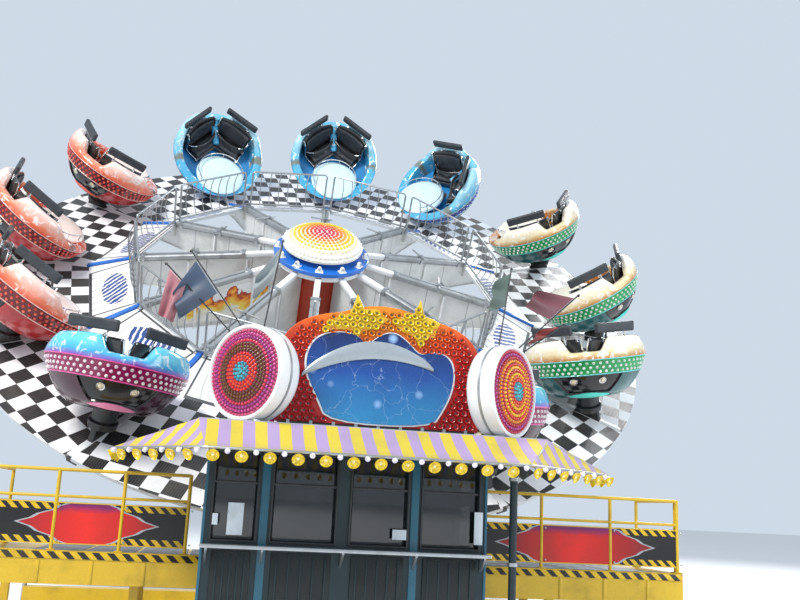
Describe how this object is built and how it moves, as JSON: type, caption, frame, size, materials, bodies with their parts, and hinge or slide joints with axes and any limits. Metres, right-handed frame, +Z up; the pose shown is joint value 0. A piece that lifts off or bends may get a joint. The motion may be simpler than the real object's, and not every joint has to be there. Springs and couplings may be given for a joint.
{
  "type": "tilting disc ride with spinning tubs",
  "caption": "Fairground ride: a tilted open disc on a lifting boom, with freely turning tubs on its checkered deck, and a pay booth with canopy and lamp sign in front.",
  "frame": {"origin": "on the ground under the middle of the raised disc, on the underside of the base frame's middle foot", "axes": "+Z up, -Y towards the pay booth and the low side of the disc, +X to the right seen from the front"},
  "size_m": [13.8, 14.7798, 11.6017],
  "materials": {
    "base_paint": "satin",
    "platform_paint": "satin",
    "fence_paint": "satin",
    "booth_paint": "satin",
    "roof_paint": "satin",
    "canopy_cloth": "matt",
    "sign_face": "gloss",
    "lamp_lens": "gloss",
    "boom_paint": "satin",
    "bearing_steel": "satin",
    "hub_red": "satin",
    "ring_blue": "gloss",
    "arm_paint": "satin",
    "girder_paint": "satin",
    "rail_steel": "satin",
    "deck_plate": "satin",
    "tub_red": "gloss",
    "tub_blue": "gloss",
    "tub_green": "gloss",
    "tub_purple": "gloss",
    "tub_seat": "matt"
  },
  "bodies": {
    "base": {"base_frame": "base_paint", "pivot_shaft": "bearing_steel", "front_platform": "platform_paint", "platform_fence_left": "fence_paint", "platform_fence_right": "fence_paint", "platform_end_left": "fence_paint", "platform_end_right": "fence_paint", "booth_floor": "booth_paint", "booth_walls": "booth_paint", "booth_roof": "roof_paint", "canopy_post": "booth_paint", "canopy": "canopy_cloth", "sign_board": "sign_face", "lamp_disc_left": "lamp_lens", "lamp_disc_right": "lamp_lens"},
    "boom": {"boom_arm": "boom_paint", "slew_ring": "bearing_steel"},
    "disc": {"hub_column": "hub_red", "hub_ring": "ring_blue", "hub_dome": "lamp_lens", "spoke_arms": "arm_paint", "spoke_girders": "girder_paint", "guard_rail": "rail_steel", "deck_sector_01": "deck_plate", "deck_sector_02": "deck_plate", "deck_sector_03": "deck_plate", "deck_sector_04": "deck_plate", "deck_sector_05": "deck_plate", "deck_sector_06": "deck_plate", "deck_sector_07": "deck_plate", "deck_sector_08": "deck_plate", "deck_sector_09": "deck_plate", "deck_sector_10": "deck_plate", "deck_sector_11": "deck_plate", "deck_sector_12": "deck_plate"},
    "tub_01": {"tub_01_shell": "tub_red", "tub_01_seats": "tub_seat"},
    "tub_02": {"tub_02_shell": "tub_red", "tub_02_seats": "tub_seat"},
    "tub_03": {"tub_03_shell": "tub_red", "tub_03_seats": "tub_seat"},
    "tub_04": {"tub_04_shell": "tub_blue", "tub_04_seats": "tub_seat"},
    "tub_05": {"tub_05_shell": "tub_blue", "tub_05_seats": "tub_seat"},
    "tub_06": {"tub_06_shell": "tub_blue", "tub_06_seats": "tub_seat"},
    "tub_07": {"tub_07_shell": "tub_green", "tub_07_seats": "tub_seat"},
    "tub_08": {"tub_08_shell": "tub_green", "tub_08_seats": "tub_seat"},
    "tub_09": {"tub_09_shell": "tub_green", "tub_09_seats": "tub_seat"},
    "tub_10": {"tub_10_shell": "tub_purple", "tub_10_seats": "tub_seat"},
    "tub_11": {"tub_11_shell": "tub_purple", "tub_11_seats": "tub_seat"},
    "tub_12": {"tub_12_shell": "tub_purple", "tub_12_seats": "tub_seat"}
  },
  "joints": [
    {"name": "boom_lift", "type": "hinge", "parent": "base", "child": "boom", "pos_m": [0, -4.46688, 0.8], "axis": [1, 0, 0], "range_deg": [-41.6, 0]},
    {"name": "disc_spin", "type": "hinge", "parent": "boom", "child": "disc", "pos_m": [0, 0, 6.23686], "axis": [0, -0.6639, 0.7478], "continuous": true},
    {"name": "tub_01_spin", "type": "hinge", "parent": "disc", "child": "tub_01", "pos_m": [-5.61901, -1.7954, 4.40212], "axis": [0.3112, -0.5178, 0.7969], "continuous": true},
    {"name": "tub_02_spin", "type": "hinge", "parent": "disc", "child": "tub_02", "pos_m": [-6.14657, 0.56209, 6.49521], "axis": [0.3404, -0.6484, 0.6809], "continuous": true},
    {"name": "tub_03_spin", "type": "hinge", "parent": "disc", "child": "tub_03", "pos_m": [-5.02716, 2.80099, 8.483], "axis": [0.2784, -0.7724, 0.5708], "continuous": true},
    {"name": "tub_04_spin", "type": "hinge", "parent": "disc", "child": "tub_04", "pos_m": [-2.56073, 4.32139, 9.83287], "axis": [0.1418, -0.8566, 0.4961], "continuous": true},
    {"name": "tub_05_spin", "type": "hinge", "parent": "disc", "child": "tub_05", "pos_m": [0.59185, 4.7159, 10.18313], "axis": [-0.0328, -0.8785, 0.4767], "continuous": true},
    {"name": "tub_06_spin", "type": "hinge", "parent": "disc", "child": "tub_06", "pos_m": [3.58584, 3.87881, 9.43993], "axis": [-0.1986, -0.8321, 0.5178], "continuous": true},
    {"name": "tub_07_spin", "type": "hinge", "parent": "disc", "child": "tub_07", "pos_m": [5.61901, 2.03442, 7.8024], "axis": [-0.3112, -0.7299, 0.6085], "continuous": true},
    {"name": "tub_08_spin", "type": "hinge", "parent": "disc", "child": "tub_08", "pos_m": [6.14657, -0.32308, 5.70932], "axis": [-0.3404, -0.5994, 0.7245], "continuous": true},
    {"name": "tub_09_spin", "type": "hinge", "parent": "disc", "child": "tub_09", "pos_m": [5.02716, -2.56198, 3.72153], "axis": [-0.2784, -0.4754, 0.8346], "continuous": true},
    {"name": "tub_10_spin", "type": "hinge", "parent": "disc", "child": "tub_10", "pos_m": [2.56073, -4.08238, 2.37165], "axis": [-0.1418, -0.3912, 0.9093], "continuous": true},
    {"name": "tub_11_spin", "type": "hinge", "parent": "disc", "child": "tub_11", "pos_m": [-0.59185, -4.47689, 2.02139], "axis": [0.0328, -0.3693, 0.9287], "continuous": true},
    {"name": "tub_12_spin", "type": "hinge", "parent": "disc", "child": "tub_12", "pos_m": [-3.58584, -3.6398, 2.7646], "axis": [0.1986, -0.4157, 0.8876], "continuous": true}
  ]
}
